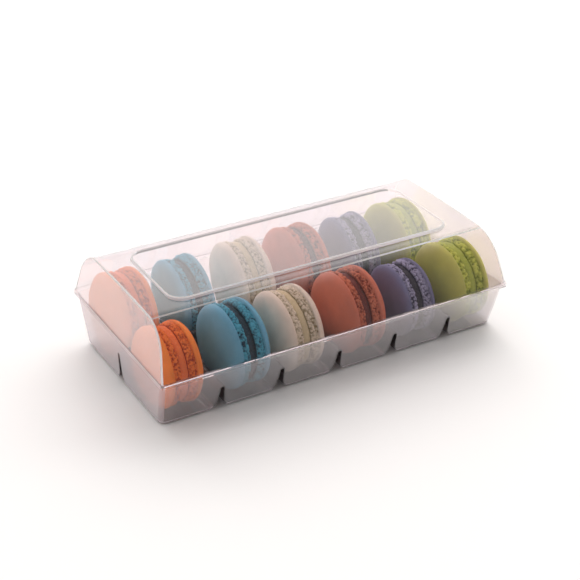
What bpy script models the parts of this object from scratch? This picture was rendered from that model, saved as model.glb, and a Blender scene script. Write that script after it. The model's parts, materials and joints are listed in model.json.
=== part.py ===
"""Models a clear lidded box of twelve macarons that stand on edge in two rows of six."""

import math
from dataclasses import dataclass

import bmesh
import bpy
from mathutils import Vector, noise

# The frame has +X along the box, +Y towards its back and +Z up, with z = 0 under the pockets.
SKIN = 0.0006
GAP = 0.0003

# Tray
POCKETS_PER_ROW = 6
TRAY_FOOT_HALF = (0.0911, 0.0420)
TRAY_BRIM_HALF = (0.0922, 0.0495)
TRAY_CORNER_RADIUS = 0.004
TRAY_FOOT_EDGE_RADIUS = 0.0024
RIM_HALF = (0.0930, 0.0504)
RIM_CORNER_RADIUS = 0.0016
RIM_THICKNESS = 0.0009
RIM_TOP = 0.0253
POCKET_PITCH = 2 * TRAY_BRIM_HALF[0] / POCKETS_PER_ROW

# Grooves that rise between the pockets from below
CROSS_GROOVE_HEIGHT = 0.0139
LONG_GROOVE_HEIGHT = 0.0165
GROOVE_TIP_RADIUS = 0.0009
GROOVE_FOOT_HALF = 0.0021
POCKET_CORNER_RADIUS = 0.0060
GROOVE_ARC_STEPS = 4

# Lid
LID_BASE = RIM_TOP + GAP
LIP_THICKNESS = 0.0008
LID_BASE_HALF = (0.0925, 0.0498)
LID_END_LEAN = 0.0040
LID_CREASE_RADIUS = 0.0008
WALL_LEAN = math.radians(18)
SHOULDER_RADIUS = 0.0180
SHOULDER_CENTRE = (0.0285, 0.0325)
SHOULDER_STEPS = 7
CROWN_RISE = 0.0005
CROWN_STEPS = 4
WINDOW_FOOT_HALF = (0.0762, 0.0276)
WINDOW_TOP_HALF = (0.0743, 0.0257)
WINDOW_CORNER_RADIUS = 0.0075
WINDOW_FOOT = 0.0472
WINDOW_TOP = 0.0520

# Macarons
FILLING_THICKNESS = 0.0034
FOOT_HEIGHT = 0.0038
FOOT_INSET = 0.0007
SHELL_BASE_INSET = 0.0017
FILLING_INSET = 0.0024
RUFFLE_DEPTH = 0.0007
RUFFLE_SIZE = 0.0042
DOME_ROUNDNESS = 2.5
ROUND_STEPS = 24
FLOOR_CLEARANCE = 0.0005


@dataclass(frozen=True)
class Flavour:
    """The colours of one kind of macaron, as linear RGB."""

    name: str
    shell: tuple
    filling: tuple


@dataclass(frozen=True)
class Stand:
    """One macaron: its shift along the row, its radius, its shells' height and its turns in degrees."""

    shift: float
    radius: float
    height: float
    turn: float
    tilt: float


FLAVOURS = (
    Flavour("orange", (0.74, 0.19, 0.04), (0.60, 0.12, 0.03)),
    Flavour("teal", (0.10, 0.30, 0.42), (0.02, 0.10, 0.15)),
    Flavour("ivory", (0.70, 0.62, 0.44), (0.62, 0.52, 0.30)),
    Flavour("terracotta", (0.52, 0.15, 0.08), (0.30, 0.05, 0.02)),
    Flavour("slate", (0.16, 0.14, 0.24), (0.20, 0.18, 0.26)),
    Flavour("lime", (0.50, 0.55, 0.10), (0.55, 0.62, 0.12)),
)

FRONT_ROW_Y = -0.0262
FRONT_ROW = (
    Stand(-0.0022, 0.0196, 0.0100, 2.0, -2.0),
    Stand(0.0002, 0.0205, 0.0100, 3.0, 0.0),
    Stand(-0.0016, 0.0202, 0.0104, 2.0, 1.8),
    Stand(0.0008, 0.0207, 0.0110, 2.0, 1.0),
    Stand(0.0010, 0.0186, 0.0089, 1.0, 2.0),
    Stand(-0.0008, 0.0206, 0.0100, 2.0, 2.4),
)

BACK_ROW_Y = 0.0226
BACK_ROW = (
    Stand(-0.0018, 0.0213, 0.0100, 2.0, -2.0),
    Stand(-0.0014, 0.0210, 0.0088, 1.0, 1.5),
    Stand(0.0004, 0.0212, 0.0104, -2.0, 2.0),
    Stand(0.0002, 0.0215, 0.0102, 2.0, -1.5),
    Stand(0.0006, 0.0204, 0.0094, -3.0, 3.0),
    Stand(-0.0010, 0.0212, 0.0090, 2.0, 1.0),
)


def clear_objects():
    """Removes every object of the open scene."""
    for item in list(bpy.data.objects):
        bpy.data.objects.remove(item, do_unlink=True)


def new_collection(name):
    """Returns a new collection in the scene."""
    collection = bpy.data.collections.new(name)
    bpy.context.scene.collection.children.link(collection)
    return collection


def new_material(name, colour, roughness, alpha=1.0):
    """Returns a Principled material."""
    material = bpy.data.materials.new(name)
    material.use_nodes = True
    shader = material.node_tree.nodes["Principled BSDF"]
    shader.inputs["Base Color"].default_value = (*colour, 1.0)
    shader.inputs["Roughness"].default_value = roughness
    shader.inputs["Metallic"].default_value = 0.0
    shader.inputs["Alpha"].default_value = alpha
    return material


def new_object(name, bm, collection):
    """Makes a mesh object from bm and frees bm."""
    bmesh.ops.recalc_face_normals(bm, faces=bm.faces)
    mesh = bpy.data.meshes.new(name)
    bm.to_mesh(mesh)
    bm.free()
    item = bpy.data.objects.new(name, mesh)
    collection.objects.link(item)
    return item


def add_boolean(item, operation, other):
    """Adds an exact Boolean with an object or with a whole collection."""
    modifier = item.modifiers.new(operation.title(), "BOOLEAN")
    modifier.operation = operation
    modifier.solver = "EXACT"
    if isinstance(other, bpy.types.Collection):
        modifier.operand_type = "COLLECTION"
        modifier.collection = other
    else:
        modifier.object = other


def hide_cutters(collection):
    """Keeps the cutters of a collection out of the model."""
    for item in collection.objects:
        item.hide_render = True
        item.display_type = "WIRE"


def upright_edges(bm):
    """Returns the edges of bm that rise from its lower to its upper face."""
    return [e for e in bm.edges if abs(e.verts[0].co.z - e.verts[1].co.z) > 1e-6]


def tapered_box(foot_half, top_half, z_foot, z_top, corner_radius):
    """Returns a bmesh box with rounded corners whose foot and top differ in size."""
    bm = bmesh.new()
    bmesh.ops.create_cube(bm, size=2.0)
    for vertex in bm.verts:
        half = top_half if vertex.co.z > 0 else foot_half
        height = z_top if vertex.co.z > 0 else z_foot
        vertex.co = Vector((vertex.co.x * half[0], vertex.co.y * half[1], height))
    bmesh.ops.bevel(
        bm,
        geom=upright_edges(bm),
        offset=corner_radius,
        segments=4,
        profile=0.5,
        affect="EDGES",
        material=-1,
    )
    return bm


def round_foot(bm, z_foot, radius):
    """Rounds the edge all round the lowest face of bm."""
    edges = [e for e in bm.edges if all(abs(v.co.z - z_foot) < 1e-6 for v in e.verts)]
    bmesh.ops.bevel(
        bm,
        geom=edges,
        offset=radius,
        segments=2,
        profile=0.5,
        affect="EDGES",
        material=-1,
    )


def groove_outline(height, skin):
    """Returns the outline of a groove as (across, up) points, grown outwards by skin."""
    side = GROOVE_TIP_RADIUS + skin
    tip_level = height - GROOVE_TIP_RADIUS
    lean = math.atan2(GROOVE_FOOT_HALF - GROOVE_TIP_RADIUS, tip_level)
    corner = POCKET_CORNER_RADIUS - skin
    centre = GROOVE_FOOT_HALF + POCKET_CORNER_RADIUS * (1 - math.sin(lean)) / math.cos(lean)
    half = []
    for step in range(GROOVE_ARC_STEPS):
        angle = math.pi / 2 * (1 - step / GROOVE_ARC_STEPS)
        half.append((side * math.cos(angle), tip_level + side * math.sin(angle)))
    half.append((side, tip_level))
    for step in range(GROOVE_ARC_STEPS + 1):
        share = step / GROOVE_ARC_STEPS
        angle = (math.pi + lean) * (1 - share) + 1.5 * math.pi * share
        half.append((centre + corner * math.cos(angle), POCKET_CORNER_RADIUS + corner * math.sin(angle)))
    half.append((centre, -0.002))
    mirrored = [(-across, up) for across, up in reversed(half) if across > 1e-9]
    return half + mirrored


def groove_cutter(name, height, skin, length, collection):
    """Makes a groove that runs along Y through the origin, length long."""
    bm = bmesh.new()
    outline = [bm.verts.new((across, -length / 2, up)) for across, up in groove_outline(height, skin)]
    face = bm.faces.new(outline)
    swept = bmesh.ops.extrude_face_region(bm, geom=[face])
    moved = [g for g in swept["geom"] if isinstance(g, bmesh.types.BMVert)]
    bmesh.ops.translate(bm, vec=(0, length, 0), verts=moved)
    return new_object(name, bm, collection)


def groove_set(name, skin):
    """Returns a collection of all the grooves, each grown outwards by skin."""
    collection = new_collection(name)
    for number in range(1, POCKETS_PER_ROW):
        cutter = groove_cutter(f"{name}_cross_{number}", CROSS_GROOVE_HEIGHT, skin, 0.12, collection)
        cutter.location.x = (number - POCKETS_PER_ROW / 2) * POCKET_PITCH
    cutter = groove_cutter(f"{name}_long", LONG_GROOVE_HEIGHT, skin, 0.21, collection)
    cutter.rotation_euler.z = math.pi / 2
    hide_cutters(collection)
    return collection


def build_tray(parts, tools, material):
    """Makes the thin tray with its two rows of pockets and its rim."""
    wall_top = RIM_TOP - RIM_THICKNESS / 2
    body = tapered_box(TRAY_FOOT_HALF, TRAY_BRIM_HALF, 0.0, wall_top, TRAY_CORNER_RADIUS)
    round_foot(body, 0.0, TRAY_FOOT_EDGE_RADIUS)
    tray = new_object("tray", body, parts)
    rim = tapered_box(RIM_HALF, RIM_HALF, RIM_TOP - RIM_THICKNESS, RIM_TOP, RIM_CORNER_RADIUS)
    add_boolean(tray, "UNION", new_object("tray_rim", rim, tools))
    add_boolean(tray, "DIFFERENCE", groove_set("grooves", 0.0))

    rise = (TRAY_BRIM_HALF[1] - TRAY_FOOT_HALF[1]) / wall_top
    core_top = RIM_TOP + 0.002
    foot = (TRAY_FOOT_HALF[0] - SKIN, TRAY_FOOT_HALF[1] + rise * SKIN - SKIN)
    brim = (TRAY_BRIM_HALF[0] - SKIN, TRAY_FOOT_HALF[1] + rise * core_top - SKIN)
    inside = tapered_box(foot, brim, SKIN, core_top, TRAY_CORNER_RADIUS - SKIN)
    round_foot(inside, SKIN, TRAY_FOOT_EDGE_RADIUS - SKIN)
    core = new_object("tray_core", inside, tools)
    add_boolean(core, "DIFFERENCE", groove_set("ridges", SKIN))
    add_boolean(tray, "DIFFERENCE", core)
    tray.data.materials.append(material)


def lid_profile(skin, z_base):
    """Returns the lid's section as (y, z) points from its front foot over to its back foot."""
    centre_y, centre_z = SHOULDER_CENTRE
    radius = SHOULDER_RADIUS - skin
    turn = math.pi / 2 - WALL_LEAN
    wall_y = centre_y + radius * math.cos(WALL_LEAN)
    wall_z = centre_z + radius * math.sin(WALL_LEAN)
    half = [(wall_y + (wall_z - z_base) * math.tan(WALL_LEAN), z_base)]
    for step in range(SHOULDER_STEPS + 1):
        angle = WALL_LEAN + turn * step / SHOULDER_STEPS
        half.append((centre_y + radius * math.cos(angle), centre_z + radius * math.sin(angle)))
    for step in range(1, CROWN_STEPS + 1):
        share = 1 - step / CROWN_STEPS
        half.append((centre_y * share, centre_z + radius + CROWN_RISE * (1 - share * share)))
    front = [(-y, z) for y, z in half]
    return front + list(reversed(half[:-1]))


def lid_body(skin, z_base):
    """Returns a bmesh of the lid's arched body, its faces moved inwards by skin."""
    bm = bmesh.new()
    reach = LID_BASE_HALF[0] - skin
    outline = [bm.verts.new((-reach, y, z)) for y, z in lid_profile(skin, z_base)]
    face = bm.faces.new(outline)
    swept = bmesh.ops.extrude_face_region(bm, geom=[face])
    moved = [g for g in swept["geom"] if isinstance(g, bmesh.types.BMVert)]
    bmesh.ops.translate(bm, vec=(2 * reach, 0, 0), verts=moved)
    height = SHOULDER_CENTRE[1] + SHOULDER_RADIUS - LID_BASE
    for vertex in bm.verts:
        lean = LID_END_LEAN * (vertex.co.z - LID_BASE) / height
        vertex.co.x -= math.copysign(lean, vertex.co.x)
    return bm


def round_creases(bm, z_base):
    """Rounds the creases between the lid's arch and its two ends."""
    edges = []
    for edge in bm.edges:
        first, last = edge.verts
        along_arch = first.co.x * last.co.x > 0
        on_base = abs(first.co.z - z_base) < 1e-6 and abs(last.co.z - z_base) < 1e-6
        if along_arch and not on_base:
            edges.append(edge)
    bmesh.ops.bevel(
        bm,
        geom=edges,
        offset=LID_CREASE_RADIUS,
        segments=2,
        profile=0.5,
        affect="EDGES",
        material=-1,
    )


def build_lid(parts, tools, material):
    """Makes the thin arched lid with its lip and its raised window panel."""
    body = lid_body(0.0, LID_BASE)
    round_creases(body, LID_BASE)
    lid = new_object("lid", body, parts)
    lip = tapered_box(RIM_HALF, RIM_HALF, LID_BASE, LID_BASE + LIP_THICKNESS, RIM_CORNER_RADIUS)
    add_boolean(lid, "UNION", new_object("lid_lip", lip, tools))
    panel = tapered_box(WINDOW_FOOT_HALF, WINDOW_TOP_HALF, WINDOW_FOOT, WINDOW_TOP, WINDOW_CORNER_RADIUS)
    add_boolean(lid, "UNION", new_object("window_panel", panel, tools))

    core = new_object("lid_core", lid_body(SKIN, LID_BASE - 0.002), tools)
    foot = [half - SKIN for half in WINDOW_FOOT_HALF]
    top = [half - SKIN for half in WINDOW_TOP_HALF]
    hollow = tapered_box(foot, top, WINDOW_FOOT, WINDOW_TOP - SKIN, WINDOW_CORNER_RADIUS - SKIN)
    add_boolean(core, "UNION", new_object("window_core", hollow, tools))
    add_boolean(lid, "DIFFERENCE", core)
    lid.data.materials.append(material)


def turned(profile):
    """Returns a bmesh of (radius, height) points turned about Z, closed at both poles."""
    bm = bmesh.new()
    points = [bm.verts.new((radius, 0, height)) for radius, height in profile]
    edges = [bm.edges.new(pair) for pair in zip(points, points[1:])]
    bmesh.ops.spin(
        bm,
        geom=points + edges,
        cent=(0, 0, 0),
        axis=(0, 0, 1),
        angle=2 * math.pi,
        steps=ROUND_STEPS,
        use_merge=True,
    )
    bmesh.ops.remove_doubles(bm, verts=bm.verts, dist=1e-5)
    rims = [e for e in bm.edges if e.is_boundary]
    bmesh.ops.contextual_create(bm, geom=rims)
    return bm


def ruffle(bm, low, high, seed):
    """Pushes the vertices between two heights in and out, as a baked foot is uneven."""
    for vertex in bm.verts:
        if low < vertex.co.z < high:
            place = vertex.co / RUFFLE_SIZE + Vector((0, 0, 11.0 * seed))
            flat = Vector((vertex.co.x, vertex.co.y, 0)).normalized()
            vertex.co += flat * RUFFLE_DEPTH * noise.noise(place)


def shell_mesh(radius, height, seed):
    """Returns a bmesh of one shell: a smooth dome over a ruffled foot, flat at z = 0."""
    dome = height - FOOT_HEIGHT
    profile = [
        (radius - SHELL_BASE_INSET, 0.0),
        (radius - FOOT_INSET, FOOT_HEIGHT * 0.45),
        (radius - FOOT_INSET, FOOT_HEIGHT * 0.95),
    ]
    for degrees in (8, 34, 62):
        angle = math.radians(degrees)
        across = math.cos(angle) ** (2 / DOME_ROUNDNESS)
        up = math.sin(angle) ** (2 / DOME_ROUNDNESS)
        profile.append((radius * across, FOOT_HEIGHT + dome * up))
    profile.append((0.0, height))
    bm = turned(profile)
    ruffle(bm, -1e-4, FOOT_HEIGHT, seed)
    return bm


def filling_mesh(radius, seed):
    """Returns a bmesh of the filling between two shells, centred on the origin."""
    reach = radius - FILLING_INSET
    half = FILLING_THICKNESS / 2
    bm = turned([(reach - 0.0006, -half), (reach, 0.0), (reach - 0.0006, half)])
    ruffle(bm, -FILLING_THICKNESS, FILLING_THICKNESS, seed)
    return bm


def shade_round(item):
    """Shades a turned piece smooth but for its sharp edges."""
    item.data.shade_smooth()
    item.data.set_sharp_from_angle(angle=math.radians(50))


def build_macaron(name, stand, place, materials, seed, parts):
    """Makes one macaron about an empty whose X axis runs through its two shells."""
    hub = bpy.data.objects.new(f"{name}_hub", None)
    parts.objects.link(hub)
    hub.location = place
    hub.rotation_euler = (0.0, -math.radians(stand.tilt), math.radians(stand.turn))
    shell_material, filling_material = materials
    for side, word in ((-1, "near"), (1, "far")):
        mesh = shell_mesh(stand.radius, stand.height, seed + side)
        shell = new_object(f"{name}_shell_{word}", mesh, parts)
        shell.parent = hub
        shell.location.x = side * (FILLING_THICKNESS / 2 + GAP)
        shell.rotation_euler.y = side * math.pi / 2
        shell.data.materials.append(shell_material)
        shade_round(shell)
    filling = new_object(f"{name}_filling", filling_mesh(stand.radius, seed + 0.5), parts)
    filling.parent = hub
    filling.rotation_euler.y = math.pi / 2
    filling.data.materials.append(filling_material)
    shade_round(filling)


def floor_height(stand):
    """Returns the height of a macaron's centre when it stands just clear of its pocket."""
    tilt = math.radians(abs(stand.tilt))
    widest = FILLING_THICKNESS / 2 + GAP + FOOT_HEIGHT
    return SKIN + FLOOR_CLEARANCE + stand.radius * math.cos(tilt) + widest * math.sin(tilt)


def build_macarons(parts):
    """Makes the two rows of macarons, a flavour to each pair of pockets."""
    for column, flavour in enumerate(FLAVOURS):
        materials = (
            new_material(f"{flavour.name}_shell", flavour.shell, 0.6),
            new_material(f"{flavour.name}_filling", flavour.filling, 0.5),
        )
        for row, row_y, stands in (("front", FRONT_ROW_Y, FRONT_ROW), ("back", BACK_ROW_Y, BACK_ROW)):
            stand = stands[column]
            along = (column + 0.5 - POCKETS_PER_ROW / 2) * POCKET_PITCH + stand.shift
            place = (along, row_y, floor_height(stand))
            seed = 4 * column + (2 if row == "back" else 0)
            build_macaron(f"{row}_{flavour.name}", stand, place, materials, seed, parts)


def main():
    """Builds the whole box."""
    clear_objects()
    parts = new_collection("box_of_macarons")
    tools = new_collection("cutters")
    clear_plastic = new_material("clear_plastic", (0.92, 0.92, 0.93), 0.08, alpha=0.25)
    build_tray(parts, tools, clear_plastic)
    build_lid(parts, tools, clear_plastic)
    hide_cutters(tools)
    build_macarons(parts)


main()
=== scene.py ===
"""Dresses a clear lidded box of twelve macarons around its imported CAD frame."""

import json
import logging
import math
from dataclasses import dataclass, field
from enum import Enum
from typing import Callable, Iterable

import bmesh
import bpy
from mathutils import Matrix, Vector, noise

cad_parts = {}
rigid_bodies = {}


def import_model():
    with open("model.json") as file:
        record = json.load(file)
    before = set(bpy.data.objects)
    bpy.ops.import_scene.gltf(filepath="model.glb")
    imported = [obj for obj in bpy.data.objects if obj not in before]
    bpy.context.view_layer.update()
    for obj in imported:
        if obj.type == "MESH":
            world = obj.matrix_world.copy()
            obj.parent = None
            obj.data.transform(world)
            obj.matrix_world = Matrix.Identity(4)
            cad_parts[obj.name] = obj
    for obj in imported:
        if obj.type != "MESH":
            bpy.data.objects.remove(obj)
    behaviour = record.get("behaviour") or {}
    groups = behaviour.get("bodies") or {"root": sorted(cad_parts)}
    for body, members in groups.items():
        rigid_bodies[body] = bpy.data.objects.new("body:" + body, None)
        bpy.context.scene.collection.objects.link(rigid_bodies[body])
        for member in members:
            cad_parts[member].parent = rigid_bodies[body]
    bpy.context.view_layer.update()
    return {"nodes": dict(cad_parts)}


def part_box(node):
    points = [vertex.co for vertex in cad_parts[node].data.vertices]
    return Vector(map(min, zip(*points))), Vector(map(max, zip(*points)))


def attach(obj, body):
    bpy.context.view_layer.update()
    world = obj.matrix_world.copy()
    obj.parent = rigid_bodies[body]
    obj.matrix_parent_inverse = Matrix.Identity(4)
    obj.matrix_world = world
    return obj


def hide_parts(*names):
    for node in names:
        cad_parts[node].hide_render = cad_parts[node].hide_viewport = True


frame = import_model()

LOG = logging.getLogger("box_of_macarons")
MM = 0.001
BODY = "root"


def linear(colour: str) -> tuple[float, float, float, float]:
    """Turns an sRGB hex colour to linear light.

    Args:
        colour: Six hex digits with a leading hash.

    Returns:
        Linear red, green and blue, and an alpha of one.
    """
    shares = [int(colour[at : at + 2], 16) / 255 for at in (1, 3, 5)]
    light = [s / 12.92 if s <= 0.04045 else ((s + 0.055) / 1.055) ** 2.4 for s in shares]
    return (light[0], light[1], light[2], 1.0)


def add_node(
    tree: bpy.types.NodeTree,
    kind: str,
    settings: dict[str, object] | None = None,
    sockets: dict[str | int, object] | None = None,
) -> bpy.types.Node:
    """Adds one shader node with its settings, values and links.

    Args:
        tree: The material's or the world's node tree.
        kind: The node's type name.
        settings: Attributes of the node, by name.
        sockets: Inputs by name or index; an output socket is linked and any other value is set.

    Returns:
        The new node.
    """
    node = tree.nodes.new(kind)
    for name, value in (settings or {}).items():
        setattr(node, name, value)
    for name, value in (sockets or {}).items():
        if isinstance(value, bpy.types.NodeSocket):
            tree.links.new(value, node.inputs[name])
        else:
            node.inputs[name].default_value = value
    return node


def new_tree(name: str) -> tuple[bpy.types.Material, bpy.types.NodeTree]:
    """Makes a material with an empty node tree.

    Args:
        name: The material's name.

    Returns:
        The material and its tree.
    """
    material = bpy.data.materials.new(name)
    material.use_nodes = True
    material.node_tree.nodes.clear()
    return material, material.node_tree


def new_piece(name: str, bm: bmesh.types.BMesh) -> bpy.types.Object:
    """Makes a mesh object at the origin from bm and frees bm.

    Args:
        name: The object's name.
        bm: The finished mesh, in the row frame.

    Returns:
        The new object, linked to the scene.
    """
    mesh = bpy.data.meshes.new(name)
    bm.to_mesh(mesh)
    bm.free()
    piece = bpy.data.objects.new(name, mesh)
    bpy.context.scene.collection.objects.link(piece)
    return piece


class Side(Enum):
    """The two shells of a macaron, by the way they face along the row."""

    NEAR = -1
    FAR = 1


class Row(Enum):
    """The two rows of pockets."""

    FRONT = "front"
    BACK = "back"


@dataclass(frozen=True)
class ClearPlastic:
    """Thermoformed PET sheet: clear and glossy, with milky whitening and painted highlight along its drawn edges, and
    painted shade on some faces.
    """

    name: str
    tint: str = "#F8F0F2"
    # White of the milky whitening, which also stands in for painted highlight and painted sheen.
    milk_and_painted_light_white: str = "#FFFFFF"
    # Colour of the painted shade on the grooves, the pockets' floors and the back of the lid's window step.
    shade: str = "#43383A"
    shadow: str = "#EADFE3"
    # Less than PET's own 1.57, so that the thin sheet doesn't veil what stands behind it.
    ior: float = 1.3
    roughness: float = 0.02
    gloss_power: float = 2.3
    gloss_share: float = 0.85
    gloss_near: float = 0.0
    gloss_far: float = 0.0
    ripple_mm: float = 14.0
    ripple: float = 0.05
    # Painted light: the whitening grows towards the sheet's far end, which is nearest to the key light.
    ramp_reach: float = 0.09
    far_end_painted_light_gain: float = 3.5

    def material(self) -> bpy.types.Material:
        """Makes the material.

        Returns:
            Glass that lets the lamps through, glossier at a slant, whitened by milk and painted light where the edge
            attribute says, more so towards the far end, and darkened by painted shade on the faces so marked.
        """
        material, tree = new_tree(self.name)
        place = add_node(tree, "ShaderNodeTexCoord")
        wave = add_node(
            tree,
            "ShaderNodeTexNoise",
            sockets={"Vector": place.outputs["Object"], "Scale": 1 / (self.ripple_mm * MM), "Detail": 1.0},
        )
        bump = add_node(
            tree,
            "ShaderNodeBump",
            sockets={"Strength": self.ripple, "Distance": MM, "Height": wave.outputs["Fac"]},
        )
        glass = add_node(
            tree,
            "ShaderNodeBsdfPrincipled",
            sockets={
                "Base Color": linear(self.tint),
                "Roughness": self.roughness,
                "IOR": self.ior,
                "Transmission Weight": 1.0,
                "Normal": bump.outputs["Normal"],
            },
        )
        parts = add_node(tree, "ShaderNodeSeparateXYZ", sockets={0: place.outputs["Object"]})
        # Painted light: the whitening grows towards the far end, nearest to the key light.
        far_end_painted_light = add_node(
            tree,
            "ShaderNodeMapRange",
            sockets={
                "Value": parts.outputs["X"],
                "From Min": 0.0,
                "From Max": self.ramp_reach,
                "To Min": 1.0,
                "To Max": self.far_end_painted_light_gain,
            },
        )
        level = add_node(
            tree,
            "ShaderNodeMapRange",
            sockets={
                "Value": parts.outputs["X"],
                "From Min": -self.ramp_reach,
                "From Max": self.ramp_reach,
                "To Min": self.gloss_near,
                "To Max": self.gloss_far,
            },
        )
        facing = add_node(tree, "ShaderNodeLayerWeight", sockets={"Blend": 0.5})
        slant = add_node(
            tree,
            "ShaderNodeMath",
            {"operation": "POWER"},
            {0: facing.outputs["Facing"], 1: self.gloss_power},
        )
        share = add_node(
            tree,
            "ShaderNodeMath",
            {"operation": "MULTIPLY_ADD", "use_clamp": True},
            {0: slant.outputs[0], 1: self.gloss_share, 2: level.outputs["Result"]},
        )
        mirror = add_node(
            tree,
            "ShaderNodeBsdfGlossy",
            sockets={"Color": linear("#FFFFFF"), "Roughness": 0.06, "Normal": bump.outputs["Normal"]},
        )
        glossy = add_node(
            tree,
            "ShaderNodeMixShader",
            sockets={0: share.outputs[0], 1: glass.outputs[0], 2: mirror.outputs[0]},
        )
        # Milky whitening, which also stands in for painted highlight and painted sheen on the marked faces.
        white_diffuse = add_node(tree, "ShaderNodeBsdfDiffuse", sockets={"Color": linear(self.milk_and_painted_light_white)})
        white_translucent = add_node(tree, "ShaderNodeBsdfTranslucent", sockets={"Color": linear(self.milk_and_painted_light_white)})
        milk_and_painted_light_white = add_node(tree, "ShaderNodeMixShader", sockets={0: 0.5, 1: white_diffuse.outputs[0], 2: white_translucent.outputs[0]})
        edge = add_node(tree, "ShaderNodeAttribute", {"attribute_name": "edge"})
        milk_and_painted_light_share = add_node(
            tree,
            "ShaderNodeMath",
            {"operation": "MULTIPLY", "use_clamp": True},
            {0: edge.outputs["Fac"], 1: far_end_painted_light.outputs["Result"]},
        )
        sheet = add_node(
            tree,
            "ShaderNodeMixShader",
            sockets={0: milk_and_painted_light_share.outputs[0], 1: glossy.outputs[0], 2: milk_and_painted_light_white.outputs[0]},
        )
        # Painted shade: the marked faces get a dark diffuse colour.
        painted_shade = add_node(tree, "ShaderNodeAttribute", {"attribute_name": "painted_shade"})
        shade = add_node(tree, "ShaderNodeBsdfDiffuse", sockets={"Color": linear(self.shade)})
        with_painted_shade = add_node(
            tree,
            "ShaderNodeMixShader",
            sockets={0: painted_shade.outputs["Fac"], 1: sheet.outputs[0], 2: shade.outputs[0]},
        )
        clear = add_node(tree, "ShaderNodeBsdfTransparent", sockets={"Color": linear(self.shadow)})
        path = add_node(tree, "ShaderNodeLightPath")
        mix = add_node(
            tree,
            "ShaderNodeMixShader",
            sockets={0: path.outputs["Is Shadow Ray"], 1: with_painted_shade.outputs[0], 2: clear.outputs[0]},
        )
        add_node(tree, "ShaderNodeOutputMaterial", sockets={"Surface": mix.outputs[0]})
        return material


# The tray mirrors the pale floor in its leaning walls, more so towards its far end.
TRAY_SHEET = ClearPlastic(
    "clear_pet_tray",
    milk_and_painted_light_white="#ECE6EC",
    shadow="#ACA1A5",
    far_end_painted_light_gain=1.0,
    gloss_near=0.05,
    gloss_far=0.22,
)
LID_SHEET = ClearPlastic("clear_pet_lid")


@dataclass(frozen=True)
class BakedShell:
    """A macaron's baked meringue: a smooth dry skin over a porous foot, darkened by painted shade in its pits."""

    name: str
    skin: str
    foot: str
    # Colour of the painted shade in the foot's pits.
    pit: str
    skin_roughness: float = 0.52
    grain_mm: float = 0.35
    mottle_mm: float = 7.0

    def material(self) -> bpy.types.Material:
        """Makes the material from the mesh's foot attribute and its attribute of painted shade in the pits.

        Returns:
            The shell's material.
        """
        material, tree = new_tree(f"baked_shell_{self.name}")
        place = add_node(tree, "ShaderNodeTexCoord").outputs["Object"]
        foot = add_node(tree, "ShaderNodeAttribute", {"attribute_name": "foot"}).outputs["Fac"]
        pit = add_node(tree, "ShaderNodeAttribute", {"attribute_name": "pit"}).outputs["Fac"]
        mottle = add_node(
            tree,
            "ShaderNodeTexNoise",
            sockets={"Vector": place, "Scale": 1 / (self.mottle_mm * MM), "Detail": 4.0, "Roughness": 0.6},
        )
        light = add_node(
            tree,
            "ShaderNodeMapRange",
            sockets={"Value": mottle.outputs["Fac"], "From Min": 0.3, "From Max": 0.7, "To Min": 0.93, "To Max": 1.07},
        )
        skin = add_node(
            tree,
            "ShaderNodeHueSaturation",
            sockets={"Color": linear(self.skin), "Value": light.outputs["Result"]},
        )
        crust = add_node(
            tree,
            "ShaderNodeMix",
            {"data_type": "RGBA"},
            {"Factor": pit, 6: linear(self.foot), 7: linear(self.pit)},
        )
        colour = add_node(
            tree,
            "ShaderNodeMix",
            {"data_type": "RGBA"},
            {"Factor": foot, 6: skin.outputs["Color"], 7: crust.outputs[2]},
        )
        rough = add_node(
            tree,
            "ShaderNodeMapRange",
            sockets={"Value": foot, "To Min": self.skin_roughness, "To Max": 0.9},
        )
        grain = add_node(
            tree,
            "ShaderNodeTexNoise",
            sockets={"Vector": place, "Scale": 1 / (self.grain_mm * MM), "Detail": 3.0},
        )
        strength = add_node(
            tree,
            "ShaderNodeMapRange",
            sockets={"Value": foot, "To Min": 0.12, "To Max": 1.0},
        )
        bump = add_node(
            tree,
            "ShaderNodeBump",
            sockets={
                "Strength": strength.outputs["Result"],
                "Distance": 0.25 * MM,
                "Height": grain.outputs["Fac"],
            },
        )
        shader = add_node(
            tree,
            "ShaderNodeBsdfPrincipled",
            sockets={
                "Base Color": colour.outputs[2],
                "Roughness": rough.outputs["Result"],
                "Specular IOR Level": 0.35,
                "Normal": bump.outputs["Normal"],
            },
        )
        add_node(tree, "ShaderNodeOutputMaterial", sockets={"Surface": shader.outputs[0]})
        return material


@dataclass(frozen=True)
class Cream:
    """The piped filling: soft, close-grained and a little moist."""

    name: str
    colour: str
    shade: str
    grain_mm: float = 0.8

    def material(self) -> bpy.types.Material:
        """Makes the material.

        Returns:
            The filling's material.
        """
        material, tree = new_tree(f"cream_{self.name}")
        place = add_node(tree, "ShaderNodeTexCoord").outputs["Object"]
        grain = add_node(
            tree,
            "ShaderNodeTexNoise",
            sockets={"Vector": place, "Scale": 1 / (self.grain_mm * MM), "Detail": 4.0},
        )
        colour = add_node(
            tree,
            "ShaderNodeMix",
            {"data_type": "RGBA"},
            {"Factor": grain.outputs["Fac"], 6: linear(self.colour), 7: linear(self.shade)},
        )
        bump = add_node(
            tree,
            "ShaderNodeBump",
            sockets={"Strength": 0.7, "Distance": 0.2 * MM, "Height": grain.outputs["Fac"]},
        )
        shader = add_node(
            tree,
            "ShaderNodeBsdfPrincipled",
            sockets={"Base Color": colour.outputs[2], "Roughness": 0.5, "Normal": bump.outputs["Normal"]},
        )
        add_node(tree, "ShaderNodeOutputMaterial", sockets={"Surface": shader.outputs[0]})
        return material


@dataclass(frozen=True)
class Flavour:
    """One kind of macaron: its finishes and how its foot baked."""

    shell: BakedShell
    cream: Cream
    frill_mm: float = 0.95
    bubble_mm: float = 1.15
    cream_inset_mm: float = 2.0

    @property
    def name(self) -> str:
        """The flavour's name, as the CAD nodes have it."""
        return self.shell.name


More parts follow.
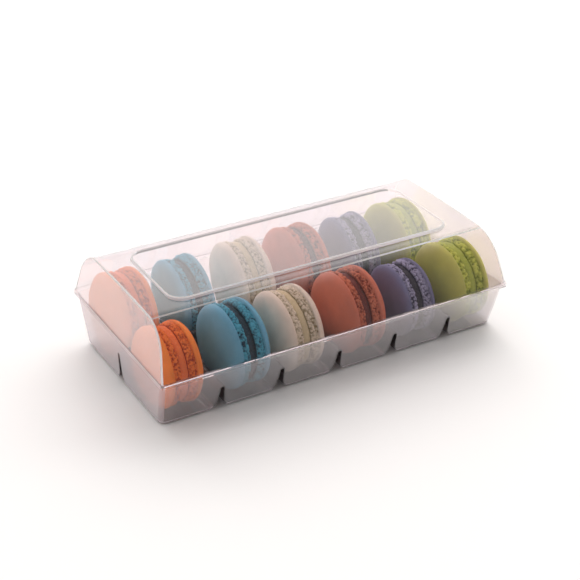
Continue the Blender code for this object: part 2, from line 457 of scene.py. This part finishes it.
FLAVOURS = (
    Flavour(
        BakedShell("orange", "#FF9038", "#FF8A3C", "#B8481A"),
        Cream("orange", "#FF8A40", "#EA6C2A"),
        frill_mm=0.9,
    ),
    Flavour(
        BakedShell("teal", "#6AB4CE", "#58BAD2", "#0C4052"),
        Cream("teal", "#0E4150", "#08303C"),
        cream_inset_mm=3.2,
    ),
    Flavour(
        BakedShell("ivory", "#EFE6D0", "#F6EDD2", "#A89A74"),
        Cream("ivory", "#EADFB4", "#D0C294"),
    ),
    Flavour(
        BakedShell("terracotta", "#D27A5C", "#E08460", "#7C2C16"),
        Cream("terracotta", "#7E2B16", "#5A1A0C"),
        cream_inset_mm=2.8,
    ),
    Flavour(
        BakedShell("slate", "#777B9C", "#B4B6D2", "#34354C"),
        Cream("slate", "#2B2838", "#1C1A26"),
        cream_inset_mm=2.8,
    ),
    Flavour(
        BakedShell("lime", "#CED468", "#DCE868", "#86982C"),
        Cream("lime", "#C8D858", "#A8B840"),
        frill_mm=1.0,
        bubble_mm=1.9,
    ),
)


@dataclass
class Macaron:
    """One macaron on edge, with its size and place read from its three CAD nodes."""

    row: Row
    flavour: Flavour
    seed: float
    steps: int = 400
    foot_mm: float = 3.8
    foot_rows: int = 12
    dome_rows: int = 13
    dome_roundness: float = 2.5
    # Keeps the dome's waves inside the CAD shell, so that none reaches the tray's end walls.
    dome_clearance: float = 0.35 * MM
    # Keeps the foot's bubbles off the tray's leaning front and back walls.
    rim_clearance: float = 0.5 * MM
    centre: Vector = field(init=False)
    axis: Vector = field(init=False)

    def __post_init__(self) -> None:
        """Works out the centre and the axis that runs through the two shells."""
        low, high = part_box(self.node("filling"))
        self.centre = (low + high) / 2
        ends = [sum(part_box(self.node(f"shell_{word}")), Vector()) / 2 for word in ("near", "far")]
        self.axis = (ends[1] - ends[0]).normalized()

    def node(self, part: str) -> str:
        """Names the CAD node of one part."""
        return f"{self.row.value}_{self.flavour.name}_{part}"

    def reach(self, part: str) -> tuple[float, float, float]:
        """Measures a CAD node about the macaron's axis.

        Args:
            part: The part's name in its node.

        Returns:
            The greatest radius and the lowest and highest place along the axis.
        """
        offsets = [v.co - self.centre for v in frame["nodes"][self.node(part)].data.vertices]
        along = [offset.dot(self.axis) for offset in offsets]
        across = [(offset - self.axis * a).length for offset, a in zip(offsets, along)]
        return max(across), min(along), max(along)

    def place(self, base: float, side: Side) -> Matrix:
        """Gives the turn and place of a shell that was made with its base at z = 0.

        Args:
            base: Where the base lies along the axis.
            side: The way that the dome faces.

        Returns:
            The matrix that puts the shell in the row frame.
        """
        way = self.axis * side.value
        turn = way.to_track_quat("Z", "Y").to_matrix().to_4x4()
        return Matrix.Translation(self.centre + self.axis * base) @ turn

    def turned(self, profile: Iterable[tuple[float, float]]) -> bmesh.types.BMesh:
        """Turns a profile about Z and closes it.

        Args:
            profile: Radius and height of each point, starting and ending on the axis.

        Returns:
            The closed turned mesh.
        """
        bm = bmesh.new()
        points = [bm.verts.new((radius, 0.0, height)) for radius, height in profile]
        edges = [bm.edges.new(pair) for pair in zip(points, points[1:])]
        bmesh.ops.spin(
            bm,
            geom=points + edges,
            cent=(0, 0, 0),
            axis=(0, 0, 1),
            angle=2 * math.pi,
            steps=self.steps,
            use_merge=True,
        )
        bmesh.ops.remove_doubles(bm, verts=bm.verts, dist=1e-5)
        bmesh.ops.recalc_face_normals(bm, faces=bm.faces)
        return bm

    def frill(self, spot: Vector) -> float:
        """Gives the baked foot's relief at a spot, about -1 in a pit to 1 on a bubble.

        Args:
            spot: The point on the smooth foot, in metres.

        Returns:
            The relief.
        """
        shift = Vector((3.1, 1.7, 9.3)) * self.seed
        swell = noise.noise(spot / (2.4 * self.flavour.bubble_mm * MM) + shift)
        distances = noise.voronoi(spot / (self.flavour.bubble_mm * MM) + shift)[0]
        bubble = 1.0 - 2.2 * distances[0]
        fine = noise.noise(spot / (0.45 * self.flavour.bubble_mm * MM) + shift)
        return 0.4 * swell + 0.6 * bubble + 0.45 * fine

    def shell(self, side: Side, finish: bpy.types.Material) -> bpy.types.Object:
        """Builds one shell in place of its CAD node.

        Args:
            side: Which of the two shells.
            finish: The shell's material.

        Returns:
            The finished piece.
        """
        word = side.name.lower()
        radius, low, high = self.reach(f"shell_{word}")
        radius -= self.rim_clearance
        base, top = (low, high) if side is Side.FAR else (high, low)
        height = abs(top - base)
        foot = self.foot_mm * MM
        dome = height - foot - self.dome_clearance
        profile = [(0.0, 0.0), (0.5 * radius, 0.0), (radius - 2.6 * MM, 0.0)]
        for number in range(self.foot_rows + 1):
            share = number / self.foot_rows
            bulge = math.sin(math.pi * (0.12 + 0.80 * share)) ** 0.6
            profile.append((radius - (1.9 - 1.25 * bulge) * MM, foot * share))
        for number in range(self.dome_rows + 1):
            angle = math.pi / 2 * (number / self.dome_rows) ** 1.2
            across = math.cos(angle) ** (2 / self.dome_roundness) if number < self.dome_rows else 0.0
            up = math.sin(angle) ** (2 / self.dome_roundness)
            profile.append((radius * across, foot + 0.12 * MM + (dome - 0.12 * MM) * up))
        bm = self.turned(profile)
        foot_layer = bm.verts.layers.float.new("foot")
        painted_pit_shade_layer = bm.verts.layers.float.new("pit")
        shift = Vector((5.3, 2.9, 7.1)) * (self.seed + side.value)
        for vertex in bm.verts:
            spot = vertex.co.copy()
            flat = Vector((spot.x, spot.y, 0.0))
            out = flat.normalized() if flat.length > 1e-6 else Vector((0.0, 0.0, 1.0))
            if spot.z <= foot + 1e-6 and flat.length > radius - 2.5 * MM:
                edge = min(1.0, 4.0 * (1.0 - spot.z / foot) + 0.15)
                relief = self.frill(spot + Vector((0, 0, 0.05 * side.value)))
                vertex.co += out * self.flavour.frill_mm * MM * edge * min(relief, 0.8)
                vertex[foot_layer] = 1.0
                # Painted shade: the deeper the pit, the more of the dark pit colour.
                vertex[painted_pit_shade_layer] = min(1.0, max(0.0, 0.15 - 1.6 * relief))
            # Painted shade: the flat base, against the filling, gets the full dark pit colour.
            elif spot.z <= 1e-6:
                vertex[foot_layer] = 1.0
                vertex[painted_pit_shade_layer] = 1.0
            else:
                wave = noise.noise(spot / (9.0 * MM) + shift)
                vertex.co += Vector((0.0, 0.0, 0.22 * MM * wave)) + out * 0.12 * MM * wave
        bm.transform(self.place(base, side))
        piece = new_piece(f"macaron_{self.row.value}_{self.flavour.name}_{word}", bm)
        self.finish(piece, finish, f"shell_{word}", f"{self.flavour.name}_shell")
        return piece

    def cream(self, finish: bpy.types.Material) -> bpy.types.Object:
        """Builds the filling in place of its CAD node.

        Args:
            finish: The filling's material.

        Returns:
            The finished piece.
        """
        radius, low, high = self.reach("filling")
        reach = radius + 2.4 * MM - self.flavour.cream_inset_mm * MM - 0.5 * MM
        half = (high - low) / 2
        rows = 8
        profile = [(0.0, -half), (0.6 * reach, -half)]
        for number in range(rows + 1):
            angle = math.pi * (number / rows - 0.5)
            profile.append((reach - 0.7 * MM * (1 - math.cos(angle)), half * math.sin(angle)))
        profile += [(0.6 * reach, half), (0.0, half)]
        bm = self.turned(profile)
        shift = Vector((4.1, 8.3, 2.2)) * self.seed
        for vertex in bm.verts:
            flat = Vector((vertex.co.x, vertex.co.y, 0.0))
            if flat.length > 0.8 * reach:
                lump = noise.noise(vertex.co / (3.0 * MM) + shift) + 0.5 * noise.noise(vertex.co / MM + shift)
                vertex.co += flat.normalized() * 0.4 * MM * lump
        bm.transform(self.place(0.0, Side.FAR))
        piece = new_piece(f"macaron_{self.row.value}_{self.flavour.name}_cream", bm)
        self.finish(piece, finish, "filling", f"{self.flavour.name}_filling")
        return piece

    def finish(self, piece: bpy.types.Object, finish: bpy.types.Material, part: str, slot: str) -> None:
        """Shades a piece, gives it its material and ties it to its CAD node.

        Args:
            piece: The new piece.
            finish: Its material.
            part: The CAD part that it stands for.
            slot: The record's material slot name; not used.
        """
        piece.data.shade_smooth()
        piece.data.materials.append(finish)
        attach(piece, BODY)
        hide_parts(self.node(part))


def tapered_box(
    foot_half: tuple[float, float],
    top_half: tuple[float, float],
    z_foot: float,
    z_top: float,
    corner: float,
) -> bmesh.types.BMesh:
    """Makes a box with rounded upright corners whose foot and top differ in size.

    Args:
        foot_half: Half the foot's length and width.
        top_half: Half the top's length and width.
        z_foot: Height of the foot.
        z_top: Height of the top.
        corner: Radius of the upright corners.

    Returns:
        The box.
    """
    bm = bmesh.new()
    bmesh.ops.create_cube(bm, size=2.0)
    for vertex in bm.verts:
        half = top_half if vertex.co.z > 0 else foot_half
        height = z_top if vertex.co.z > 0 else z_foot
        vertex.co = Vector((vertex.co.x * half[0], vertex.co.y * half[1], height))
    upright = [e for e in bm.edges if abs(e.verts[0].co.z - e.verts[1].co.z) > 1e-6]
    round_edges(bm, upright, corner, 8)
    return bm


def round_edges(bm: bmesh.types.BMesh, edges: list[bmesh.types.BMEdge], radius: float, segments: int) -> None:
    """Rounds some edges.

    Args:
        bm: The mesh.
        edges: Its edges to round.
        radius: How far the round reaches.
        segments: The number of faces across it.
    """
    bmesh.ops.bevel(
        bm,
        geom=edges,
        offset=radius,
        segments=segments,
        profile=0.5,
        affect="EDGES",
        material=-1,
    )


def level_edges(bm: bmesh.types.BMesh, height: float) -> list[bmesh.types.BMEdge]:
    """Finds the edges at one height."""
    return [e for e in bm.edges if all(abs(v.co.z - height) < 1e-6 for v in e.verts)]


@dataclass
class ClearSheet:
    """What the tray and the lid share: solids that are joined and cut to one thin drawn sheet."""

    skin: float = 0.6 * MM
    gap: float = 0.3 * MM
    rim_half: tuple[float, float] = (93.0 * MM, 50.4 * MM)
    rim_corner: float = 1.6 * MM
    rim_top: float = 25.3 * MM

    def prism(self, outline: list[tuple[float, float]], reach: float, turn: float) -> bmesh.types.BMesh:
        """Sweeps an upright outline along a level line through the origin.

        Args:
            outline: Across and up of each point.
            reach: Half the prism's length.
            turn: Its turn about Z; at zero it runs along X.

        Returns:
            The prism.
        """
        bm = bmesh.new()
        face = bm.faces.new([bm.verts.new((-reach, across, up)) for across, up in outline])
        swept = bmesh.ops.extrude_face_region(bm, geom=[face])
        moved = [g for g in swept["geom"] if isinstance(g, bmesh.types.BMVert)]
        bmesh.ops.translate(bm, vec=(2 * reach, 0, 0), verts=moved)
        bmesh.ops.recalc_face_normals(bm, faces=bm.faces)
        bm.transform(Matrix.Rotation(turn, 4, "Z"))
        return bm

    def combine(self, name: str, body: bmesh.types.BMesh, steps: list[tuple[str, object]]) -> bpy.types.Object:
        """Joins and cuts solids in order, and keeps one plain mesh.

        Args:
            name: The new object's name.
            body: The first solid.
            steps: Pairs of an operation and the solid, or list of solids, that it uses.

        Returns:
            The object, with its tools removed.
        """
        bmesh.ops.recalc_face_normals(body, faces=body.faces)
        piece = new_piece(name, body)
        tools = bpy.data.collections.new(f"{name}_tools")
        bpy.context.scene.collection.children.link(tools)
        groups = []
        for number, (operation, solids) in enumerate(steps):
            group = bpy.data.collections.new(f"{name}_{number}")
            tools.children.link(group)
            groups.append(group)
            for solid in solids if isinstance(solids, list) else [solids]:
                tool = solid if isinstance(solid, bpy.types.Object) else new_piece(f"{name}_tool", solid)
                bpy.context.scene.collection.objects.unlink(tool)
                group.objects.link(tool)
            modifier = piece.modifiers.new(operation.title(), "BOOLEAN")
            modifier.operation = operation
            modifier.solver = "EXACT"
            modifier.operand_type = "COLLECTION"
            modifier.collection = group
        result = bpy.data.meshes.new_from_object(piece.evaluated_get(bpy.context.evaluated_depsgraph_get()))
        piece.modifiers.clear()
        piece.data = result
        for group in groups:
            for tool in list(group.objects):
                bpy.data.objects.remove(tool, do_unlink=True)
            bpy.data.collections.remove(group)
        bpy.data.collections.remove(tools)
        return piece

    def milk_and_painted_light(self, centre: Vector, normal: Vector) -> float:
        """Says how much milky whitening and painted light a face gets, from clear at 0 to white at 1."""
        return 0.0

    def painted_shading(self, points: list[Vector]) -> float:
        """Says how much painted shade darkens a face."""
        return 0.0

    def dress(self, piece: bpy.types.Object, finish: bpy.types.Material, node: str) -> None:
        """Smooths the drawn curves, marks the faces whitened by milk and painted light and the faces with painted
        shade, and ties the sheet to its CAD node.

        Args:
            piece: The finished sheet.
            finish: Its material.
            node: The CAD node that it stands for.
        """
        piece.data.shade_smooth()
        piece.data.set_sharp_from_angle(angle=math.radians(40))
        flatten = piece.modifiers.new("Weighted normals", "WEIGHTED_NORMAL")
        flatten.keep_sharp = True
        edge = piece.data.attributes.new("edge", "FLOAT", "FACE")
        painted_shade = piece.data.attributes.new("painted_shade", "FLOAT", "FACE")
        for polygon in piece.data.polygons:
            edge.data[polygon.index].value = self.milk_and_painted_light(polygon.center, polygon.normal)
            points = [piece.data.vertices[at].co for at in polygon.vertices]
            painted_shade.data[polygon.index].value = self.painted_shading(points)
        piece.data.materials.clear()
        piece.data.materials.append(finish)
        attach(piece, BODY)
        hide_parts(node)


@dataclass
class Tray(ClearSheet):
    """The tray: two rows of pockets parted by upright grooves, and a flat rim."""

    foot_half: tuple[float, float] = (91.1 * MM, 42.0 * MM)
    brim_half: tuple[float, float] = (92.2 * MM, 49.5 * MM)
    corner: float = 4.0 * MM
    foot_edge: float = 2.4 * MM
    rim_thickness: float = 0.9 * MM
    pockets: int = 6
    cross_height: float = 13.9 * MM
    long_height: float = 16.5 * MM
    tip: float = 0.9 * MM
    groove_foot: float = 2.1 * MM
    pocket_corner: float = 6.0 * MM
    arc_steps: int = 9
    wall_reach: float = 1.5 * MM
    # Milky whitening with painted highlight on the rim's ends and the foot's edge, and with painted sheen on the
    # walls.
    rim_milk_and_painted_highlight: float = 0.6
    foot_milk_and_painted_highlight: float = 0.5
    end_milk_and_painted_sheen: float = 0.34
    wall_milk_and_painted_sheen: float = 0.07
    # Strength of the painted shade on the pockets' floors and in the grooves.
    floor_shade: float = 0.35
    groove_shade: float = 0.6

    def milk_and_painted_light(self, centre: Vector, normal: Vector) -> float:
        """Whitens the rim's ends and the foot's rounded edge with milk and painted highlight, and gives the walls a
        little milk and painted sheen.

        Args:
            centre: The face's centre.
            normal: The face's normal.

        Returns:
            How much milky whitening and painted light the face gets, from 0 to 1.
        """
        if centre.z > self.rim_top - self.rim_thickness - 0.1 * MM:
            return self.rim_milk_and_painted_highlight if abs(normal.x) > 0.8 else 0.0
        if 0.3 * MM < centre.z < self.foot_edge - 0.2 * MM and 0.2 < -normal.z < 0.92:
            return self.foot_milk_and_painted_highlight
        if abs(centre.x) > self.foot_half[0] - self.wall_reach:
            return self.end_milk_and_painted_sheen
        if abs(centre.y) > self.foot_half[1] - self.wall_reach and abs(normal.y) > 0.8:
            return self.wall_milk_and_painted_sheen
        return 0.0

    def painted_shading(self, points: list[Vector]) -> float:
        """Paints shade into the grooves, where the sheet is folded close, and onto the pockets' floors.

        Args:
            points: The face's corners.

        Returns:
            How dark the face is, from 0 to 1.
        """
        # Painted shade on the pockets' floors, then in the grooves.
        if all(p.z < 1.5 * MM for p in points):
            return self.floor_shade
        pitch = 2 * self.brim_half[0] / self.pockets
        nearest = round(points[0].x / pitch) * pitch
        reach = self.groove_foot + 1.2 * MM
        in_cross = abs(nearest) < 2.5 * pitch and all(abs(p.x - nearest) < reach for p in points)
        in_long = all(abs(p.y) < reach for p in points)
        return self.groove_shade if in_cross or in_long else 0.0

    def groove_outline(self, height: float, grow: float) -> list[tuple[float, float]]:
        """Draws a groove's section.

        Args:
            height: How high the groove rises.
            grow: How far the outline is moved outwards.

        Returns:
            Across and up of each point.
        """
        side = self.tip + grow
        tip_level = height - self.tip
        lean = math.atan2(self.groove_foot - self.tip, tip_level)
        corner = self.pocket_corner - grow
        centre = self.groove_foot + self.pocket_corner * (1 - math.sin(lean)) / math.cos(lean)
        half = []
        for step in range(self.arc_steps + 1):
            angle = math.pi / 2 * (1 - step / self.arc_steps)
            half.append((side * math.cos(angle), tip_level + side * math.sin(angle)))
        for step in range(self.arc_steps + 1):
            share = step / self.arc_steps
            angle = (math.pi + lean) * (1 - share) + 1.5 * math.pi * share
            half.append((centre + corner * math.cos(angle), self.pocket_corner + corner * math.sin(angle)))
        half.append((centre, -2.0 * MM))
        return half + [(-across, up) for across, up in reversed(half) if across > 1e-9]

    def grooves(self, grow: float) -> list[bpy.types.Object]:
        """Makes all the grooves as solids.

        Args:
            grow: How far each is grown outwards.

        Returns:
            The solids.
        """
        pitch = 2 * self.brim_half[0] / self.pockets
        solids = []
        for number in range(1, self.pockets):
            bm = self.prism(self.groove_outline(self.cross_height, grow), 60 * MM, math.pi / 2)
            bm.transform(Matrix.Translation(((number - self.pockets / 2) * pitch, 0, 0)))
            solids.append(new_piece("groove", bm))
        solids.append(new_piece("groove", self.prism(self.groove_outline(self.long_height, grow), 105 * MM, 0.0)))
        return solids

    def build(self, finish: bpy.types.Material) -> bpy.types.Object:
        """Builds the tray in place of its CAD node.

        Args:
            finish: The sheet's material.

        Returns:
            The finished piece.
        """
        wall_top = self.rim_top - self.rim_thickness / 2
        body = tapered_box(self.foot_half, self.brim_half, 0.0, wall_top, self.corner)
        round_edges(body, level_edges(body, 0.0), self.foot_edge, 6)
        rim = tapered_box(
            self.rim_half, self.rim_half, self.rim_top - self.rim_thickness, self.rim_top, self.rim_corner
        )
        rise = (self.brim_half[1] - self.foot_half[1]) / wall_top
        top = self.rim_top + 2.0 * MM
        foot = (self.foot_half[0] - self.skin, self.foot_half[1] + rise * self.skin - self.skin)
        brim = (self.brim_half[0] - self.skin, self.foot_half[1] + rise * top - self.skin)
        inside = tapered_box(foot, brim, self.skin, top, self.corner - self.skin)
        round_edges(inside, level_edges(inside, self.skin), self.foot_edge - self.skin, 6)
        core = self.combine("tray_inside", inside, [("DIFFERENCE", self.grooves(self.skin))])
        steps = [("UNION", rim), ("DIFFERENCE", self.grooves(0.0)), ("DIFFERENCE", core)]
        tray = self.combine("clear_tray", body, steps)
        self.dress(tray, finish, "tray")
        return tray


@dataclass
class Lid(ClearSheet):
    """The lid: an arch from front to back with leaning flat ends and a raised window panel."""

    lip_thickness: float = 0.8 * MM
    base_half: tuple[float, float] = (92.5 * MM, 49.8 * MM)
    end_lean: float = 4.0 * MM
    crease: float = 0.8 * MM
    wall_lean: float = math.radians(18)
    shoulder: float = 18.0 * MM
    shoulder_centre: tuple[float, float] = (28.5 * MM, 32.5 * MM)
    shoulder_steps: int = 20
    crown_rise: float = 0.5 * MM
    crown_steps: int = 8
    window_foot_half: tuple[float, float] = (76.2 * MM, 27.6 * MM)
    window_top_half: tuple[float, float] = (74.3 * MM, 25.7 * MM)
    window_corner: float = 7.5 * MM
    window_foot: float = 47.2 * MM
    window_top: float = 52.0 * MM
    step_reach: tuple[float, float] = (1.2 * MM, 2.3 * MM)
    # Milky whitening with painted highlight on the lip's ends, the creases and the window's edge, and with painted
    # sheen on the end walls.
    lip_milk_and_painted_highlight: float = 0.6
    crease_milk_and_painted_highlight: float = 0.92
    window_milk_and_painted_highlight: float = 0.95
    slope_milk_and_painted_highlight: float = 0.4
    end_milk_and_painted_sheen: float = 0.08
    # Strength of the painted shade on the back of the window's step.
    back_shade: float = 0.85

    @property
    def base(self) -> float:
        """The height of the lid's lower face."""
        return self.rim_top + self.gap

    def milk_and_painted_light(self, centre: Vector, normal: Vector) -> float:
        """Whitens the window's drawn edge (but not at its back), the end creases and the lip's ends with milk and
        painted highlight, and the end walls with a faint painted sheen.

        Args:
            centre: The face's centre.
            normal: The face's normal.

        Returns:
            How milky the face is, from 0 to 1.
        """
        if centre.z < self.base + self.lip_thickness + 0.1 * MM:
            return self.lip_milk_and_painted_highlight if abs(normal.x) > 0.8 else 0.0
        if 0.15 < abs(normal.x) < 0.97 and abs(centre.x) > self.base_half[0] - 8.0 * MM:
            return self.crease_milk_and_painted_highlight
        across, down = self.step_reach
        if centre.z > self.window_top - down and centre.y > self.window_top_half[1] - across:
            return 0.0
        if centre.z > self.window_top - 0.5 * MM and abs(normal.z) < 0.99:
            return self.window_milk_and_painted_highlight
        if centre.z > self.window_top - 2.0 * MM and abs(normal.z) < 0.98:
            return self.slope_milk_and_painted_highlight
        if abs(normal.x) > 0.95:
            return self.end_milk_and_painted_sheen
        return 0.0

    def painted_shading(self, points: list[Vector]) -> float:
        """Paints shade on the back of the window's drawn step, which turns from the light.

        Args:
            points: The face's corners.

        Returns:
            How dark the face is, from 0 to 1.
        """
        across, down = self.step_reach
        low, high = self.window_top_half[1] - across, self.window_foot_half[1] + 0.1 * MM
        on_step = all(low < p.y < high and p.z > self.window_top - down for p in points)
        return self.back_shade if on_step else 0.0

    def section(self, skin: float, z_base: float) -> list[tuple[float, float]]:
        """Draws the arch's section.

        Args:
            skin: How far the outline is moved inwards.
            z_base: Height of its open foot.

        Returns:
            Across and up of each point, from the front foot over to the back foot.
        """
        centre_y, centre_z = self.shoulder_centre
        radius = self.shoulder - skin
        turn = math.pi / 2 - self.wall_lean
        wall_y = centre_y + radius * math.cos(self.wall_lean)
        wall_z = centre_z + radius * math.sin(self.wall_lean)
        half = [(wall_y + (wall_z - z_base) * math.tan(self.wall_lean), z_base)]
        for step in range(self.shoulder_steps + 1):
            angle = self.wall_lean + turn * step / self.shoulder_steps
            half.append((centre_y + radius * math.cos(angle), centre_z + radius * math.sin(angle)))
        for step in range(1, self.crown_steps + 1):
            share = 1 - step / self.crown_steps
            half.append((centre_y * share, centre_z + radius + self.crown_rise * (1 - share * share)))
        return [(-across, up) for across, up in half] + list(reversed(half[:-1]))

    def arch(self, skin: float, z_base: float) -> bmesh.types.BMesh:
        """Makes the arched body with its leaning ends.

        Args:
            skin: How far its faces are moved inwards.
            z_base: Height of its foot.

        Returns:
            The solid.
        """
        bm = self.prism(self.section(skin, z_base), self.base_half[0] - skin, 0.0)
        height = self.shoulder_centre[1] + self.shoulder - self.base
        for vertex in bm.verts:
            lean = self.end_lean * (vertex.co.z - self.base) / height
            vertex.co.x -= math.copysign(lean, vertex.co.x)
        return bm

    def creases(self, bm: bmesh.types.BMesh, z_base: float) -> list[bmesh.types.BMEdge]:
        """Finds the edges between the arch and its two ends."""
        foot = set(level_edges(bm, z_base))
        return [e for e in bm.edges if e not in foot and e.verts[0].co.x * e.verts[1].co.x > 0]

    def build(self, finish: bpy.types.Material) -> bpy.types.Object:
        """Builds the lid in place of its CAD node.

        Args:
            finish: The sheet's material.

        Returns:
            The finished piece.
        """
        body = self.arch(0.0, self.base)
        round_edges(body, self.creases(body, self.base), self.crease, 5)
        lip = tapered_box(self.rim_half, self.rim_half, self.base, self.base + self.lip_thickness, self.rim_corner)
        panel = tapered_box(
            self.window_foot_half, self.window_top_half, self.window_foot, self.window_top, self.window_corner
        )
        round_edges(panel, level_edges(panel, self.window_top), 0.5 * MM, 4)
        inner_foot = (self.window_foot_half[0] - self.skin, self.window_foot_half[1] - self.skin)
        inner_top = (self.window_top_half[0] - self.skin, self.window_top_half[1] - self.skin)
        hollow = tapered_box(
            inner_foot, inner_top, self.window_foot, self.window_top - self.skin, self.window_corner - self.skin
        )
        inside = self.arch(self.skin, self.base - 2.0 * MM)
        core = self.combine("lid_inside", inside, [("UNION", hollow)])
        lid = self.combine("clear_lid", body, [("UNION", lip), ("UNION", panel), ("DIFFERENCE", core)])
        self.dress(lid, finish, "lid")
        return lid


@dataclass
class Studio:
    """The pale floor, the soft lights and the camera."""

    camera_place: tuple[float, float, float] = (-0.2946, -0.5220, 0.3604)
    pitch: float = math.radians(90 - 30.385)
    turn: float = math.radians(-30.0)
    lens: float = 87.52
    shift: tuple[float, float] = (-0.02285, 0.04597)

    def camera(self) -> None:
        """Sets the camera at the fitted place and makes it the scene's."""
        data = bpy.data.cameras.new("camera")
        data.lens = self.lens
        data.sensor_width = 36.0
        data.shift_x, data.shift_y = self.shift
        data.clip_start = 0.01
        camera = bpy.data.objects.new("camera", data)
        camera.location = self.camera_place
        camera.rotation_euler = (self.pitch, 0.0, self.turn)
        bpy.context.scene.collection.objects.link(camera)
        bpy.context.scene.camera = camera

    def floor(self) -> None:
        """Lays a large pale floor."""
        bm = bmesh.new()
        bmesh.ops.create_grid(bm, x_segments=1, y_segments=1, size=4.0)
        bmesh.ops.translate(bm, verts=bm.verts, vec=(0, 0, -0.1 * MM))
        floor = new_piece("floor", bm)
        material, tree = new_tree("pale_floor")
        shader = add_node(
            tree,
            "ShaderNodeBsdfPrincipled",
            sockets={"Base Color": linear("#F4F2F1"), "Roughness": 0.7, "Specular IOR Level": 0.2},
        )
        add_node(tree, "ShaderNodeOutputMaterial", sockets={"Surface": shader.outputs[0]})
        floor.data.materials.append(material)

    def world(self, colour: str, behind: float, before: float) -> None:
        """Fills the room with soft light that differs behind and before the box.

        Args:
            colour: The light's colour.
            behind: Its strength from behind the box.
            before: Its strength from the camera's side.
        """
        world = bpy.data.worlds.new("studio")
        world.use_nodes = True
        tree = world.node_tree
        tree.nodes.clear()
        way = add_node(tree, "ShaderNodeTexCoord")
        parts = add_node(tree, "ShaderNodeSeparateXYZ", sockets={0: way.outputs["Generated"]})
        strength = add_node(
            tree,
            "ShaderNodeMapRange",
            sockets={
                "Value": parts.outputs["Y"],
                "From Min": -0.2,
                "From Max": 0.3,
                "To Min": before,
                "To Max": behind,
            },
        )
        light = add_node(
            tree,
            "ShaderNodeBackground",
            sockets={"Color": linear(colour), "Strength": strength.outputs["Result"]},
        )
        add_node(tree, "ShaderNodeOutputWorld", sockets={"Surface": light.outputs[0]})
        bpy.context.scene.world = world

    def lamp(
        self,
        name: str,
        place: tuple[float, float, float],
        size: tuple[float, float],
        power: float,
        colour: str,
        mirrored: bool,
    ) -> None:
        """Hangs one soft lamp that faces the box.

        Args:
            name: The lamp's name.
            place: Where it hangs, in metres.
            size: Its width and height.
            power: Its power in watts.
            colour: Its colour.
            mirrored: Whether glossy surfaces show it.
        """
        data = bpy.data.lights.new(name, "AREA")
        data.shape = "RECTANGLE"
        data.size, data.size_y = size
        data.energy = power
        data.color = linear(colour)[:3]
        lamp = bpy.data.objects.new(name, data)
        lamp.location = place
        lamp.rotation_euler = (Vector((0, 0, 0.02)) - Vector(place)).to_track_quat("-Z", "Y").to_euler()
        lamp.visible_glossy = mirrored
        lamp.visible_transmission = mirrored
        bpy.context.scene.collection.objects.link(lamp)

    def build(self) -> None:
        """Sets up the whole studio."""
        self.camera()
        self.floor()
        self.world("#FFFEFD", 1.0, 0.45)
        self.lamp("key_panel", (1.0, 1.1, 1.4), (1.6, 1.6), 21.0, "#FFFCFA", False)
        self.lamp("low_panel", (0.1, 1.7, 1.0), (1.4, 1.0), 10.0, "#FFFCFA", False)
        self.lamp("right_panel", (1.5, -0.2, 1.0), (1.0, 1.0), 6.0, "#FFFCFA", False)
        self.lamp("left_panel", (-1.5, 0.1, 0.9), (0.9, 0.9), 2.0, "#FFFCFA", False)
        self.lamp("back_panel", (0.9, 1.55, 0.86), (2.8, 0.9), 1.5, "#FFEFF1", True)
        bpy.context.scene.view_settings.view_transform = "Standard"


def report(name: str, build: Callable[[], bpy.types.Object]) -> None:
    """Builds a piece and logs its name and size.

    Args:
        name: What the piece is.
        build: Makes the piece.
    """
    piece = build()
    LOG.info("%s: %s, %d faces", name, piece.name, len(piece.data.polygons))


def main() -> None:
    """Builds the box, its macarons and the studio in order."""
    logging.basicConfig(level=logging.INFO, format="%(name)s %(message)s")
    tray_sheet = TRAY_SHEET.material()
    lid_sheet = LID_SHEET.material()
    report("tray", lambda: Tray().build(tray_sheet))
    report("lid", lambda: Lid().build(lid_sheet))
    for column, flavour in enumerate(FLAVOURS):
        shell = flavour.shell.material()
        cream = flavour.cream.material()
        for row in Row:
            macaron = Macaron(row, flavour, seed=2.0 * column + (row is Row.BACK))
            for side in Side:
                report(f"{row.value} {flavour.name} shell", lambda: macaron.shell(side, shell))
            report(f"{row.value} {flavour.name} filling", lambda: macaron.cream(cream))
    Studio().build()


if __name__ == "__main__":
    main()
